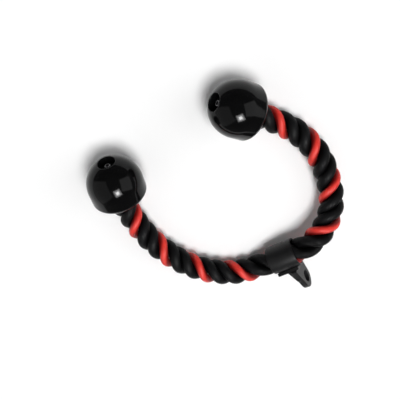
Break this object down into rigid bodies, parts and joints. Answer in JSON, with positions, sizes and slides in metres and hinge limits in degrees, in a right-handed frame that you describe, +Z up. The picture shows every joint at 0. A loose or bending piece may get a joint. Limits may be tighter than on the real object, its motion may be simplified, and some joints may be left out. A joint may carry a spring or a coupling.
{
  "type": "triceps rope attachment",
  "caption": "Cable machine rope attachment: a thick laid rope bent into a U, with a moulded ball grip on each end, and a steel clamp crimped round its middle whose flat eye plate takes a carabiner.",
  "frame": {"origin": "centre of the bottom of the part's box, on the surface that it lies on", "axes": "+Z up from the floor; +X to the side that the U's bend is nearer to; +Y away from the clamp, towards the balls; left and right as seen from above with +Y away"},
  "size_m": [0.2979, 0.2582, 0.0679],
  "materials": {
    "red_strand": "smooth polyester yarn, satin",
    "black_strand": "smooth polyester yarn, satin",
    "core_cord": "plain cord, hidden by the strands",
    "ball_plastic": "glossy moulding",
    "clamp_paint": "satin dark grey powder coat",
    "zinc_steel": "zinc plated"
  },
  "bodies": {
    "clamp": {"clamp_sleeve": "clamp_paint", "eye_bracket": "clamp_paint", "strand_red_clamp": "red_strand", "strand_black_a_clamp": "black_strand", "strand_black_b_clamp": "black_strand", "core_cord_clamp": "core_cord"},
    "left_1": {"strand_red_left_1": "red_strand", "strand_black_a_left_1": "black_strand", "strand_black_b_left_1": "black_strand", "core_cord_left_1": "core_cord"},
    "left_2": {"strand_red_left_2": "red_strand", "strand_black_a_left_2": "black_strand", "strand_black_b_left_2": "black_strand", "core_cord_left_2": "core_cord"},
    "left_grip": {"left_ball": "ball_plastic", "left_rope_end_ferrule": "zinc_steel", "left_retaining_washer": "zinc_steel", "left_retaining_screw": "zinc_steel", "strand_red_left_grip": "red_strand", "strand_black_a_left_grip": "black_strand", "strand_black_b_left_grip": "black_strand", "core_cord_left_grip": "core_cord"},
    "right_1": {"strand_red_right_1": "red_strand", "strand_black_a_right_1": "black_strand", "strand_black_b_right_1": "black_strand", "core_cord_right_1": "core_cord"},
    "right_2": {"strand_red_right_2": "red_strand", "strand_black_a_right_2": "black_strand", "strand_black_b_right_2": "black_strand", "core_cord_right_2": "core_cord"},
    "right_grip": {"right_ball": "ball_plastic", "right_rope_end_ferrule": "zinc_steel", "right_retaining_washer": "zinc_steel", "right_retaining_screw": "zinc_steel", "strand_red_right_grip": "red_strand", "strand_black_a_right_grip": "black_strand", "strand_black_b_right_grip": "black_strand", "core_cord_right_grip": "core_cord"}
  },
  "joints": [
    {"name": "left_bend_1", "type": "hinge", "parent": "clamp", "child": "left_1", "pos_m": [0.03122, -0.10619, 0.01499], "axis": [0, 0, 1], "range_deg": [-5, 30], "deforming": ["strand_red_left_1", "strand_black_a_left_1", "strand_black_b_left_1", "core_cord_left_1"]},
    {"name": "left_bend_2", "type": "hinge", "parent": "left_1", "child": "left_2", "pos_m": [-0.04199, -0.09209, 0.01583], "axis": [0, 0, 1], "range_deg": [-5, 30], "deforming": ["strand_red_left_2", "strand_black_a_left_2", "strand_black_b_left_2", "core_cord_left_2"]},
    {"name": "left_bend_3", "type": "hinge", "parent": "left_2", "child": "left_grip", "pos_m": [-0.09648, -0.04062, 0.01594], "axis": [0, 0, 1], "range_deg": [-5, 30], "deforming": ["strand_red_left_grip", "strand_black_a_left_grip", "strand_black_b_left_grip", "core_cord_left_grip"]},
    {"name": "right_bend_1", "type": "hinge", "parent": "clamp", "child": "right_1", "pos_m": [0.1232, -0.04986, 0.02941], "axis": [0, 0, -1], "range_deg": [-5, 40], "deforming": ["strand_red_right_1", "strand_black_a_right_1", "strand_black_b_right_1", "core_cord_right_1"]},
    {"name": "right_bend_2", "type": "hinge", "parent": "right_1", "child": "right_2", "pos_m": [0.12555, 0.02232, 0.0173], "axis": [0, 0, -1], "range_deg": [-5, 40], "deforming": ["strand_red_right_2", "strand_black_a_right_2", "strand_black_b_right_2", "core_cord_right_2"]},
    {"name": "right_bend_3", "type": "hinge", "parent": "right_2", "child": "right_grip", "pos_m": [0.07337, 0.07599, 0.01516], "axis": [0, 0, -1], "range_deg": [-5, 40], "deforming": ["strand_red_right_grip", "strand_black_a_right_grip", "strand_black_b_right_grip", "core_cord_right_grip"]}
  ],
  "couplings": [
    {"joint": "left_bend_2", "follows": "left_bend_1", "ratio": 1},
    {"joint": "left_bend_3", "follows": "left_bend_1", "ratio": 1},
    {"joint": "right_bend_2", "follows": "right_bend_1", "ratio": 1},
    {"joint": "right_bend_3", "follows": "right_bend_1", "ratio": 1}
  ]
}
